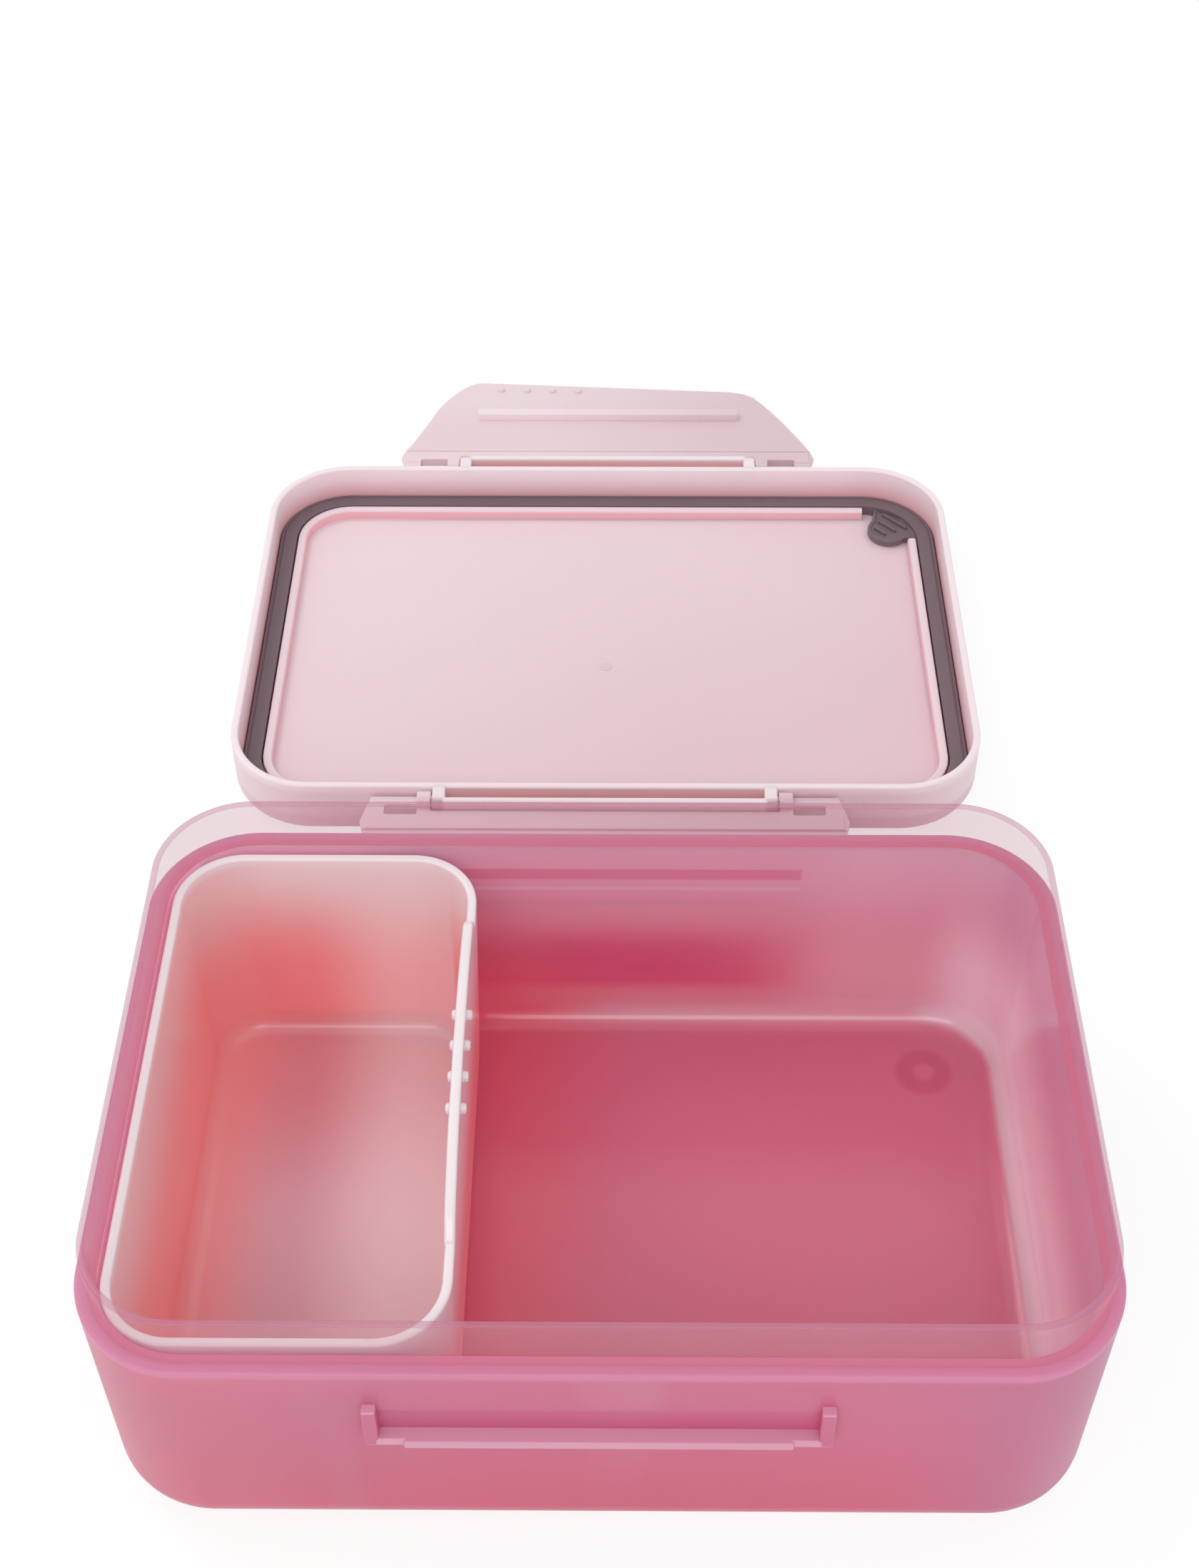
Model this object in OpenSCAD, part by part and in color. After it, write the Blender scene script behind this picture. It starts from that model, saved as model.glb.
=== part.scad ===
// Lunch box with a clip-on lid, an inner side container and a lid seal.
// The lid lies upside down behind the box, taken off, with both clips swung open.
// Millimetres, +Z up. Origin: centre of the box's underside.

/* [Box body] */
// Outside width of the collar, side to side
collar_w = 185; // [150:0.5:240]
// Outside depth of the collar, front to back
collar_d = 126.4; // [100:0.2:180]
// Outside corner radius of the collar, seen from above
collar_r = 19.1; // [14:0.1:30]
// Wall thickness of the clear collar
collar_t = 1.4; // [1:0.1:2.5]
// Height of the collar above the ledge
collar_h = 12; // [8:0.5:20]
// Width of the ledge the collar stands on
ledge_w = 2.4; // [1.5:0.1:4]
// Height of the box from underside to collar rim
box_h = 70; // [60:1:110]
// Thickness of the box floor
floor_t = 2.2; // [1.5:0.1:4]
// How far each wall leans in from ledge to underside
draft = 1; // [0:0.1:2]
// Outside fillet between wall and underside
base_fillet = 10; // [5:0.5:12]
// Inside fillet between wall and floor
inner_fillet = 6.5; // [2:0.5:8]

/* [Latch catches] */
// Half length of the catch, middle to the outside of an upright
catch_x = 42.2; // [30:0.1:50]
// Width of each upright of the catch
catch_post_w = 2.7; // [1.5:0.1:5]
// Height of the catch's lower edge above the underside
catch_z = 37; // [25:0.5:45]
// Height of the catch's cross bar
catch_bar_h = 2.1; // [1.5:0.1:4]
// Height of the catch's uprights, measured from its lower edge
catch_post_h = 11; // [6:0.5:16]
// How far the cross bar stands out from the wall line
catch_out = 2.4; // [1.5:0.1:4]
// How far the uprights stand out from the wall line
catch_post_out = 1.8; // [1:0.1:3]
// Depth of the shallow pocket inside the catch
catch_pocket = 0.7; // [0.2:0.1:1.2]

/* [Side container] */
// Outside width of the container, measured at its rim
cup_w = 63.8; // [40:0.2:90]
// Gap between the container's front or back and the collar, at its rim
cup_gap_y = 2.2; // [0.5:0.1:12]
// Height of the container, underside to rim
cup_h = 55.3; // [40:0.1:60]
// Outside corner radius at the rim
cup_r = 14; // [8:0.5:20]
// Wall thickness of the container
cup_t = 1.9; // [1:0.1:2.5]
// Thickness of its floor
cup_floor_t = 1.6; // [1:0.1:3]
// How far each wall leans in from rim to underside
cup_taper = 1.5; // [0:0.1:3]
// Fillet between its wall and underside
cup_fillet = 6; // [3:0.5:10]
// Gap between the container's side and the collar, at its rim
cup_gap = 0.9; // [0.4:0.1:5]
// Half length of the grip tab on the free side
tab_half = 38.5; // [15:1:50]
// Height of the grip tab above the rim, at its middle
tab_h = 9.3; // [4:0.1:12]
// Height of the grip tab above the rim, near its ends
tab_end_h = 5.6; // [2:0.1:9]
// Thickness of the grip tab
tab_t = 2.1; // [1.2:0.1:3]
// Spacing of the grip nubs along the tab
nub_pitch = 7.6; // [4:0.1:12]
// Radius of a grip nub
nub_r = 1.1; // [0.5:0.1:2]

/* [Lid] */
// Wall thickness of the lid's skirt
lid_t = 1.9; // [1.2:0.1:3]
// Height of the lid, rim to outside face
lid_h = 16.5; // [12:0.5:25]
// Gap between the collar and the inside of the skirt
fit_gap = 0.5; // [0.2:0.1:1]
// Depth of the shallow well in the lid's outside face
well_depth = 2.3; // [0.5:0.1:4]
// Width of the raised border around that well
border_w = 9; // [6:0.5:15]
// Thickness of the lid's panel
panel_t = 2; // [1.2:0.1:3]
// Outside edge radius of the lid
lid_edge_r = 4; // [1:0.5:6]
// Width of the channel that holds the seal
channel_w = 5.2; // [4:0.1:8]
// Thickness of the fence beside the channel
fence_t = 2.4; // [1:0.1:3]
// Height of the fence above the panel
fence_h = 3.1; // [2:0.1:6]
// Free space between the opened rear clip and the back of the box
lid_room = 3.8; // [1:0.1:40]

/* [Hinge brackets] */
// Half length of the bracket
bracket_x = 42.5; // [30:0.1:55]
// Width of each end block of the bracket
bracket_end_w = 3.2; // [2:0.1:6]
// How far the bracket stands out from the skirt
bracket_out = 5; // [4:0.1:8]
// Thickness of the bracket's bar
bracket_bar_t = 1.7; // [1:0.1:3]
// Height of the bracket
bracket_h = 5.6; // [4:0.1:8]
// Radius of the bracket's upper outside edge
bracket_round = 1; // [0.5:0.1:1.5]
// Distance from the skirt to the hinge axis
pivot_out = 2.6; // [2.4:0.1:4]
// Distance from the rim plane to the hinge axis
pivot_down = 2; // [1.5:0.1:4]
// Radius of the hinge pins
pin_r = 1.2; // [0.8:0.05:1.6]
// Radial clearance between hinge pin and bore
pin_gap = 0.06; // [0.02:0.01:0.1]
// Length of each hinge pin
pin_len = 3.3; // [2:0.1:5]

/* [Clips] */
// Thickness of the clip's plate
clip_t = 2; // [1.4:0.1:3]
// Half width of the clip at its root
clip_x = 60; // [50:0.5:70]
// Length from hinge axis to the end of the long side
clip_long = 49.2; // [40:0.2:50]
// Length from hinge axis to the end of the short side
clip_short = 43.6; // [36:0.2:48]
// How far the plate's inner face lies below the hinge axis
clip_drop = 0.7; // [0.3:0.1:1.5]
// Edge of the cut-out, measured from the hinge axis
cutout_y = 2.9; // [2.9:0.1:5]
// Droop of the open clip below level, in degrees
clip_droop = 5; // [0:1:10]
// Height of the rib that hooks under the catch
rib_h = 2.2; // [1.5:0.1:3]
// Thickness of the rib
rib_t = 3.4; // [2:0.1:5]
// Half length of the rib
rib_x = 38.7; // [20:0.1:40]
// Gap between the hooked rib and the catch
rib_gap = 0.5; // [0.3:0.1:1.5]
// Width of the ear plate that takes the hinge pin
ear_w = 3.4; // [2:0.1:5]
// Outside radius of the ear around the hinge pin
ear_r = 2.15; // [1.8:0.05:2.4]
// Side gap between bracket and ear
ear_gap = 0.3; // [0.2:0.1:0.6]
// Width of the window beside each ear
window_w = 8.1; // [4:0.1:10]

/* [Seal] */
// Side gap between the seal and its channel
seal_gap = 0.3; // [0.2:0.05:0.5]
// Depth of the groove along the seal's top
seal_groove = 0.3; // [0.3:0.1:1.5]
// Thickness of the pull tab
pull_t = 1.6; // [1:0.1:2.5]
// Radius of the pull tab's round end
pull_r = 5.8; // [4:0.1:9]
// Gap between the closed collar and the seal
seal_air = 0.2; // [0.1:0.05:0.4]

/* [Hidden] */
$fn = 96;
ccx = collar_w / 2 - collar_r;
ccy = collar_d / 2 - collar_r;
ledge_z = box_h - collar_h;
tub_r = collar_r + ledge_w;
inner_r = collar_r - collar_t;
wall_y = collar_d / 2 + ledge_w;
lid_r = collar_r + fit_gap + lid_t;
lid_y = collar_d / 2 + fit_gap + lid_t;
lid_in_r = collar_r + fit_gap;
fence_r = lid_in_r - channel_w;
panel_z = well_depth + panel_t;
seal_z = panel_z + fence_h;
lid_apart = pivot_out + clip_long * cos(clip_droop) + lid_room;
lid_cy = wall_y + lid_apart + lid_y;
closed_rim_z = box_h - (lid_h - seal_z) + seal_air;
pivot_z = lid_h - pivot_down;
rib_y = closed_rim_z + pivot_down - catch_z + rib_gap;
cup_d = collar_d - 2 * (collar_t + cup_gap_y);
cup_side_x = collar_w / 2 - collar_t - cup_gap - cup_w;
cup_cx = -cup_side_x - cup_w / 2;
cup_ax = cup_w / 2 - cup_r;
cup_ay = cup_d / 2 - cup_r;
cup_rim_z = floor_t + cup_h;
ear_x = bracket_x + ear_gap;

pink = [0.82, 0.42, 0.50, 0.55];
pale = [0.95, 0.84, 0.86, 1];
grey = [0.46, 0.38, 0.42, 1];
milk = [0.96, 0.90, 0.91, 0.75];

// Points of an arc, from angle a0 to angle a1 about (x, y).
function arc(x, y, r, a0, a1, n = 10) =
    [for (i = [0:n]) [x + r * cos(a0 + (a1 - a0) * i / n), y + r * sin(a0 + (a1 - a0) * i / n)]];

// Sweeps a section round a rounded rectangle; section x counts out from the corner centres.
module ring(ax, ay) {
    for (sx = [0, 1], sy = [0, 1])
        mirror([sx, 0, 0])
            mirror([0, sy, 0])
                translate([ax, ay, 0])
                    rotate_extrude(angle = 90) children(0);
    for (s = [0, 180])
        rotate([0, 0, s]) {
            translate([ax, ay, 0])
                rotate([90, 0, 0])
                    linear_extrude(height = 2 * ay) children(0);
            translate([-ax, ay, 0])
                rotate([90, 0, 90])
                    linear_extrude(height = 2 * ax) children(0);
        }
}

module slab(ax, ay, z0, t) {
    translate([-ax, -ay, z0])
        cube([2 * ax, 2 * ay, t]);
}

module box_section() {
    foot_r = tub_r - draft;
    polygon(concat(
        [[0, 0]],
        arc(foot_r - base_fillet, base_fillet, base_fillet, -90, 0),
        arc(tub_r - 0.6, ledge_z - 0.6, 0.6, 0, 90, 4),
        [[collar_r, ledge_z]],
        arc(collar_r - 0.5, box_h - 0.5, 0.5, 0, 90, 4),
        arc(inner_r + 0.5, box_h - 0.5, 0.5, 90, 180, 4),
        arc(inner_r - draft - inner_fillet, floor_t + inner_fillet, inner_fillet, 0, -90),
        [[0, floor_t]]));
}

// The shallow pocket, uprights and cross bar that a clip's rib hooks under.
module catch_frame() {
    post_x = catch_x - catch_post_w;
    for (s = [-1, 1])
        translate([s * (catch_x - catch_post_w / 2), -wall_y, catch_z])
            rotate([90, 0, 90])
                linear_extrude(height = catch_post_w, center = true)
                    polygon([
                        [1.5, 0],
                        [-catch_post_out, 0],
                        [-catch_post_out, catch_post_h - 1.5],
                        [-catch_post_out + 1, catch_post_h],
                        [1.5, catch_post_h]]);
    translate([-post_x - 0.5, -wall_y - catch_post_out, catch_z])
        cube([2 * post_x + 1, catch_post_out + 1.5, catch_bar_h]);
    translate([0, 0, catch_z])
        linear_extrude(height = catch_bar_h)
            polygon([
                [-catch_x + 6.8, -wall_y + 0.5],
                [-catch_x + 8, -wall_y - catch_out],
                [catch_x - 8, -wall_y - catch_out],
                [catch_x - 6.8, -wall_y + 0.5]]);
}

module catch_pocket_cut() {
    post_x = catch_x - catch_post_w;
    translate([-post_x, -wall_y - 3, catch_z + catch_bar_h])
        cube([2 * post_x, 3 + catch_pocket, catch_post_h - catch_bar_h - 2]);
}

module box_body() {
    color(pink)
        union() {
            difference() {
                union() {
                    ring(ccx, ccy) box_section();
                    slab(ccx, ccy, 0, floor_t);
                }
                for (s = [0, 180])
                    rotate([0, 0, s]) catch_pocket_cut();
            }
            for (s = [0, 180])
                rotate([0, 0, s]) catch_frame();
        }
}

module cup_section() {
    foot_r = cup_r - cup_taper;
    in_fillet = cup_fillet - cup_t;
    polygon(concat(
        [[0, 0]],
        arc(foot_r - cup_fillet, cup_fillet, cup_fillet, -90, 0),
        arc(cup_r - 0.6, cup_h - 0.6, 0.6, 0, 90, 4),
        arc(cup_r - cup_t + 0.5, cup_h - 0.5, 0.5, 90, 180, 4),
        arc(foot_r - cup_t - in_fillet, cup_floor_t + in_fillet, in_fillet, 0, -90),
        [[0, cup_floor_t]]));
}

// Raised grip tab with paired nubs, on the container's free side.
module grip_tab() {
    rise = tab_h - tab_end_h;
    half = tab_half - 5;
    bow_r = (half * half + rise * rise) / (2 * rise);
    bow_a = asin(half / bow_r);
    translate([-cup_side_x - tab_t, 0, cup_rim_z])
        rotate([90, 0, 90])
            linear_extrude(height = tab_t)
                polygon(concat(
                    [[-tab_half, -2], [tab_half, -2], [tab_half, 0]],
                    arc(tab_half - 5, tab_end_h - 4, 4, 20, 80, 5),
                    arc(0, tab_h - bow_r, bow_r, 90 - bow_a, 90 + bow_a, 16),
                    arc(-tab_half + 5, tab_end_h - 4, 4, 100, 160, 5),
                    [[-tab_half, 0]]));
    for (i = [-1.5, -0.5, 0.5, 1.5])
        translate([-cup_side_x - tab_t / 2, i * nub_pitch + 0.2, cup_rim_z + 4.6])
            rotate([0, 90, 0])
                cylinder(r = nub_r, h = tab_t + 2, center = true, $fn = 24);
}

module side_container() {
    color(milk)
        union() {
            translate([cup_cx, 0, floor_t]) {
                ring(cup_ax, cup_ay) cup_section();
                slab(cup_ax, cup_ay, 0, cup_floor_t);
            }
            grip_tab();
        }
}

module lid_section(fenced) {
    well_r = lid_r - border_w;
    fence_top = [
        [fence_r, panel_z],
        [fence_r, seal_z - 0.4],
        [fence_r - 0.4, seal_z],
        [fence_r - fence_t + 0.4, seal_z],
        [fence_r - fence_t, seal_z - 0.4],
        [fence_r - fence_t, panel_z]];
    polygon(concat(
        [[0, well_depth], [well_r, well_depth], [well_r + 1, 0]],
        arc(lid_r - lid_edge_r, lid_edge_r, lid_edge_r, -90, 0, 8),
        arc(lid_r - 0.6, lid_h - 0.6, 0.6, 0, 90, 4),
        arc(lid_in_r + 0.6, lid_h - 0.6, 0.6, 90, 180, 4),
        [[lid_in_r, panel_z]],
        fenced ? fence_top : [[fence_r, panel_z]],
        [[0, panel_z]]));
}

// Bracket with its bar, end blocks and hinge pins, on the +Y side of the lid.
module bracket() {
    z0 = lid_h - bracket_h;
    difference() {
        translate([-bracket_x, 0, 0])
            rotate([90, 0, 90])
                linear_extrude(height = 2 * bracket_x)
                    polygon(concat(
                        [[lid_y - 1, z0], [lid_y + bracket_out - 0.6, z0], [lid_y + bracket_out, z0 + 0.6]],
                        arc(lid_y + bracket_out - bracket_round, lid_h - bracket_round,
                            bracket_round, 0, 90, 5),
                        [[lid_y - 1, lid_h]]));
        translate([-bracket_x + bracket_end_w, lid_y, z0 - 1])
            cube([2 * (bracket_x - bracket_end_w), bracket_out - bracket_bar_t, bracket_h + 2]);
    }
    for (s = [-1, 1])
        translate([s * (bracket_x - 0.5), lid_y + pivot_out, pivot_z])
            rotate([0, s * 90, 0])
                cylinder(r = pin_r, h = pin_len + 0.5);
}

module lid() {
    color(pale)
        translate([0, lid_cy, 0])
            union() {
                difference() {
                    union() {
                        ring(ccx, ccy) lid_section(true);
                        slab(ccx, ccy, well_depth, panel_t);
                    }
                    // the fence leaves the pull tab's corner free
                    translate([ccx, ccy, panel_z])
                        cube([fence_r + 0.3, fence_r + 0.3, fence_h + 1]);
                }
                for (s = [0, 180])
                    rotate([0, 0, s]) bracket();
            }
}

module seal_section() {
    x0 = fence_r + seal_gap;
    x1 = lid_in_r - seal_gap;
    polygon([
        [x0, panel_z],
        [x1, panel_z],
        [x1, seal_z - 0.3],
        [x1 - 0.3, seal_z],
        [x1 - 1.5, seal_z],
        [x1 - 1.9, seal_z - seal_groove],
        [x0 + 1.3, seal_z - seal_groove],
        [x0 + 1, seal_z],
        [x0 + 0.3, seal_z],
        [x0, seal_z - 0.3]]);
}

// Tear-shaped pull tab in the corner where the fence is left out.
module pull_tab() {
    z0 = panel_z + 0.5;
    px = ccx + 7;
    py = ccy + 5.4;
    translate([px, py, z0])
        cylinder(r = pull_r, h = pull_t);
    translate([0, 0, z0])
        linear_extrude(height = pull_t)
            polygon([
                [px - 4.4, py + 3.8],
                [px - 3.4, ccy + fence_r + 0.2],
                [px + 1.5, ccy + fence_r + 0.2],
                [ccx + fence_r - 3.4, ccy + 10.8],
                [ccx + fence_r + 0.6, ccy + 3.6],
                [ccx + fence_r + 0.6, ccy + 1.5],
                [px + 4.4, py - 4]]);
    for (i = [0, 1, 2])
        translate([px - 2.4 + 2.2 * i, py - 0.9 + 2.2 * i, z0 + pull_t])
            rotate([0, 0, -45])
                translate([-2 - i * 1.1, -0.4, -0.2])
                    cube([4 + i * 2.2, 0.8, 0.8]);
}

module lid_seal() {
    color(grey)
        translate([0, lid_cy, 0])
            union() {
                ring(ccx, ccy) seal_section();
                intersection() {
                    pull_tab();
                    translate([ccx - 6, ccy - 8, 0]) cube([40, 40, 20]);
                }
            }
}

function clip_outline() = [
    [-clip_x + 2.2, -1.9],
    [-clip_x - 0.1, 5.9],
    [-clip_x + 0.4, 8.3],
    [-clip_x + 2.9, 14.3],
    [-clip_x + 6.4, 24.9],
    [-clip_x + 9.2, clip_long - 15],
    [-clip_x + 12.3, clip_long - 8.7],
    [-clip_x + 15, clip_long - 4.3],
    [-clip_x + 17.5, clip_long - 1.3],
    [-clip_x + 19.8, clip_long - 0.1],
    [-clip_x + 26, clip_long],
    [clip_x - 23.4, clip_short + 0.2],
    [clip_x - 19.8, clip_short - 0.3],
    [clip_x - 17, clip_short - 1.9],
    [clip_x - 14.9, clip_short - 4.4],
    [clip_x - 11, clip_short - 11.2],
    [clip_x - 7.1, clip_short - 19.1],
    [clip_x - 2.9, 15],
    [clip_x - 0.4, 8.6],
    [clip_x + 0.1, 5.9],
    [clip_x - 2.2, -1.9]];

// One clip about its hinge axis: X along the axis, +Y towards the tip, inner face up.
module clip() {
    face = -clip_drop;
    window_x0 = ear_x + ear_w;
    difference() {
        union() {
            translate([0, 0, face - clip_t])
                linear_extrude(height = clip_t) polygon(clip_outline());
            translate([-clip_x + 1.2, cutout_y, face - clip_t])
                cube([2 * clip_x - 2.4, 8.6 - cutout_y, clip_t + 0.3]);
            translate([-rib_x, rib_y, face - 0.5])
                cube([2 * rib_x, rib_t, rib_h + 0.5]);
            for (i = [0:3])
                translate([-clip_x + 27.5 + 7.8 * i, clip_long - 4.9 - 0.25 * i, face - 0.5])
                    cylinder(r1 = 1.3, r2 = 1.1, h = 1.5, $fn = 24);
            for (s = [-1, 1])
                translate([s * (ear_x + ear_w / 2), 0, 0])
                    rotate([0, 90, 0])
                        cylinder(r = ear_r, h = ear_w, center = true);
        }
        translate([-ear_x, -4, -5])
            cube([2 * ear_x, 4 + cutout_y, 8]);
        for (s = [-1, 1]) {
            translate([s * (ear_x + ear_w / 2), 0, 0])
                rotate([0, 90, 0])
                    cylinder(r = pin_r + pin_gap, h = ear_w + 1, center = true);
            translate([s * (window_x0 + window_w / 2), 2.5, 0])
                cube([window_w, 3.4, 8], center = true);
        }
    }
}

module placed_clip() {
    translate([0, lid_y + pivot_out, pivot_z])
        rotate([-clip_droop, 0, 0]) clip();
}

module front_clip() {
    color(pale)
        translate([0, lid_cy, 0]) placed_clip();
}

module rear_clip() {
    color(pale)
        translate([0, lid_cy, 0])
            rotate([0, 0, 180]) placed_clip();
}

box_body();
side_container();
lid();
lid_seal();
front_clip();
rear_clip();
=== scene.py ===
import math

import bmesh
import bpy
from mathutils import Matrix, Vector


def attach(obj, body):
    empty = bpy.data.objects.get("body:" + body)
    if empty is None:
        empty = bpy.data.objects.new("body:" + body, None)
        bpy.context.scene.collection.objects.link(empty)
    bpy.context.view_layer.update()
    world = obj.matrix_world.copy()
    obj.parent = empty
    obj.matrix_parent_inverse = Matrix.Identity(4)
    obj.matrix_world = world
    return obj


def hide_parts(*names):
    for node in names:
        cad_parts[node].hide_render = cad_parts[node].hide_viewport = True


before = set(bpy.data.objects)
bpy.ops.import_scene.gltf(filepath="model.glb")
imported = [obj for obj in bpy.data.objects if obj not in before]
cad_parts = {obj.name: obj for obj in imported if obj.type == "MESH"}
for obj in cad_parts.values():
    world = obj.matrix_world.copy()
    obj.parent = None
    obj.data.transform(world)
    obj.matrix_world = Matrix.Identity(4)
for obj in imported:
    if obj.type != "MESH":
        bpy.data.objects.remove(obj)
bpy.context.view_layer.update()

mm = 0.001
quarter = math.pi / 2


# camera: place in millimetres, focal length in pixels of a frame that is frameWidth wide
cameraSet = {
    "place": (2.544, -266.875, 403.69),
    "pitch": 44.86,
    "yaw": 0.0099,
    "roll": -0.0036,
    "focalPixels": 3116.46,
    "frameWidth": 1680,
    "sensorWidth": 36,
}


def makeCamera(cfg):
    data = bpy.data.cameras.new("camera")
    cam = bpy.data.objects.new("camera", data)
    bpy.context.scene.collection.objects.link(cam)
    data.sensor_fit = "HORIZONTAL"
    data.sensor_width = cfg["sensorWidth"]
    data.lens = cfg["focalPixels"] / cfg["frameWidth"] * cfg["sensorWidth"]
    data.clip_start = 0.01
    place = Matrix.Translation(Vector(cfg["place"]) * mm)
    turn = Matrix.Rotation(cfg["yaw"], 4, "Z") @ Matrix.Rotation(math.radians(90 - cfg["pitch"]), 4, "X")
    cam.matrix_world = place @ turn @ Matrix.Rotation(cfg["roll"], 4, "Z")
    bpy.context.scene.camera = cam


makeCamera(cameraSet)
print("camera placed")


# shader maths on sockets

class Wire:
    def __init__(self, shade, out):
        self.shade = shade
        self.out = out

    def maths(self, kind, *others):
        return self.shade.add("Math", {"operation": kind}, dict(enumerate((self,) + others)))

    def __add__(self, other):
        return self.maths("ADD", other)

    def __mul__(self, other):
        return self.maths("MULTIPLY", other)

    def __sub__(self, other):
        return self.maths("SUBTRACT", other)

    def __rsub__(self, other):
        return self.shade.add("Math", {"operation": "SUBTRACT"}, {0: other, 1: self})

    __radd__ = __add__
    __rmul__ = __mul__

    def clamp(self):
        return self.shade.add("Clamp", {}, {0: self})


class Shade:
    def __init__(self, name, world=None):
        self.material = world or bpy.data.materials.new(name)
        self.material.use_nodes = True
        self.tree = self.material.node_tree
        self.tree.nodes.clear()
        if world:
            self.output = self.tree.nodes.new("ShaderNodeOutputWorld")
        else:
            self.output = self.tree.nodes.new("ShaderNodeOutputMaterial")
            self.material.cycles.emission_sampling = "NONE"

    def plug(self, socket, value):
        if isinstance(value, Wire):
            self.tree.links.new(value.out, socket)
        elif isinstance(value, (tuple, list)) and len(value) == 3 and socket.type == "RGBA":
            socket.default_value = (*value, 1)
        else:
            socket.default_value = value

    def add(self, kind, settings, values, out=0):
        node = self.tree.nodes.new("ShaderNode" + kind)
        for key, value in settings.items():
            setattr(node, key, value)
        for key, value in values.items():
            self.plug(node.inputs[key], value)
        return Wire(self, node.outputs[out])

    def place(self):
        return self.add("TexCoord", {}, {}, "Object")

    def axis(self, place, letter):
        return self.add("SeparateXYZ", {}, {0: place}, letter)

    def noise(self, place, scale, detail):
        return self.add("TexNoise", {}, {"Vector": place, "Scale": scale, "Detail": detail}, "Fac")

    def between(self, low, high, value):
        ends = {"Value": value, "From Min": low, "From Max": high}
        return self.add("MapRange", {"interpolation_type": "SMOOTHSTEP"}, ends)

    def zone(self, rise, fall, value):
        return self.between(*rise, value) * (1 - self.between(*fall, value))

    def mixColour(self, factor, first, second):
        return self.add("Mix", {"data_type": "RGBA"}, {0: factor, 6: first, 7: second}, 2)

    def bump(self, height, distance):
        return self.add("Bump", {}, {"Height": height, "Distance": distance, "Strength": 1.0})

    def surface(self, values):
        self.plug(self.output.inputs["Surface"], self.add("BsdfPrincipled", {}, values))


# finishes: places are in metres from the part's own zero, and a pair says where a tone starts and is full
# clouds, streaks and grains are a noise's scale and detail; the depths of the grains are in millimetres

# besides the plastic's own tints, this table holds painted light and shade: a lighter ledge and catch, a
# darker pocket, painted shadows and highlights inside, and glows for light through the walls
tubFinish = {
    "outer": {"top": (0.745, 0.205, 0.365), "foot": (0.77, 0.12, 0.24), "rough": 0.38, "grainDeep": 0.02},
    "inner": {"top": (0.92, 0.58, 0.72), "foot": (0.90, 0.215, 0.33), "rough": 0.13, "grainDeep": 0.004},
    "clouds": (14, 3), "roughSpread": 0.06, "grains": (2600, 2),
    "streaks": (26, 2), "streakSquash": (1, 1, 0.12), "streakAt": (0.52, 0.66),
    "outerLeft": (0.85, 0.235, 0.33), "outerRight": (0.62, 0.20, 0.37),
    "ledge": (0.86, 0.30, 0.48), "pocket": (0.72, 0.16, 0.34), "catch": (0.72, 0.38, 0.50),
    "endWall": (0.91, 0.52, 0.69), "sideLit": (0.97, 0.76, 0.81), "paintedShadow": (0.75, 0.09, 0.28),
    "cupContactShade": (0.95, 0.12, 0.19), "ring": (0.70, 0.10, 0.20),
    "creviceGlow": (0.17, 0.065, 0.09), "cupSideGlow": (0.045, 0.004, 0.008), "wallGlow": (0.10, 0.07, 0.08),
    "through": 0.28, "glow": 0.5, "glowReach": (0.012, 0.004, 0.006),
    "collar": (0.68, 0.31, 0.39), "collarRim": (0.56, 0.21, 0.33), "collarFoot": (0.70, 0.165, 0.28),
    "collarSolid": 0.2, "rimSolid": 0.5, "collarRimAt": (0.0694, 0.0697),
    "collarClouds": (18, 2), "collarRough": 0.1, "collarRoughMore": 0.06,
    "collarWaves": (60, 2), "waveDeep": 0.02,
}
tubFinish["at"] = {
    "shade": (0.006, 0.054),
    # inner: free end wall, lit zone low on it
    "endWall": (0.082, 0.089), "endWallUp": (0.020, 0.040),
    "lit": (0.070, 0.086), "litRise": (0.0024, 0.007), "litFall": (0.018, 0.046),
    # inner: long walls, with the catch's bar, its painted light line and the painted shadow zone
    "longWall": (0.054, 0.059), "catchEnd": (0.0425, 0.0436),
    "barRise": (0.0473, 0.0480), "barFall": (0.0505, 0.0512),
    "lineRise": (0.0440, 0.0446), "lineFall": (0.0450, 0.0456),
    "shadowRise": (0.010, 0.015), "shadowFall": (0.024, 0.036),
    "shadowStart": (-0.028, -0.002), "shadeEnd": (0.012, 0.054),
    "endLight": (0.030, 0.058), "endLightFade": (0.014, 0.040),
    "aboveFillet": (0.004, 0.008), "footLight": (0.008, 0.015),
    # inner: floor
    "ring": (0.0725, 0.0445), "ringRise": (0.0016, 0.0032), "ringFall": (0.0052, 0.0074),
    "offFloor": (0.0030, 0.0050),
    "cupContactShade": (-0.026, 0.010), "cupContactShadeUp": (0.004, 0.026),
    "filletRise": (0.0027, 0.0040), "filletFall": (0.0050, 0.0078),
    "filletStart": (-0.020, 0.006), "filletBright": (0.068, 0.076),
    # inner: crack round the side container
    "cupBack": (-0.0845, -0.0870), "cupFree": (-0.060, -0.034),
    "creviceRise": (0.044, 0.054), "creviceFall": (0.0578, 0.0580),
    # outer
    "outerLeft": (-0.080, -0.020), "outerRight": (0.045, 0.088), "ledge": (0.0558, 0.0574),
    "pocketEnd": (0.0392, 0.0396), "pocketRise": (0.0388, 0.0392), "pocketFall": (0.0462, 0.0468),
}
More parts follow.
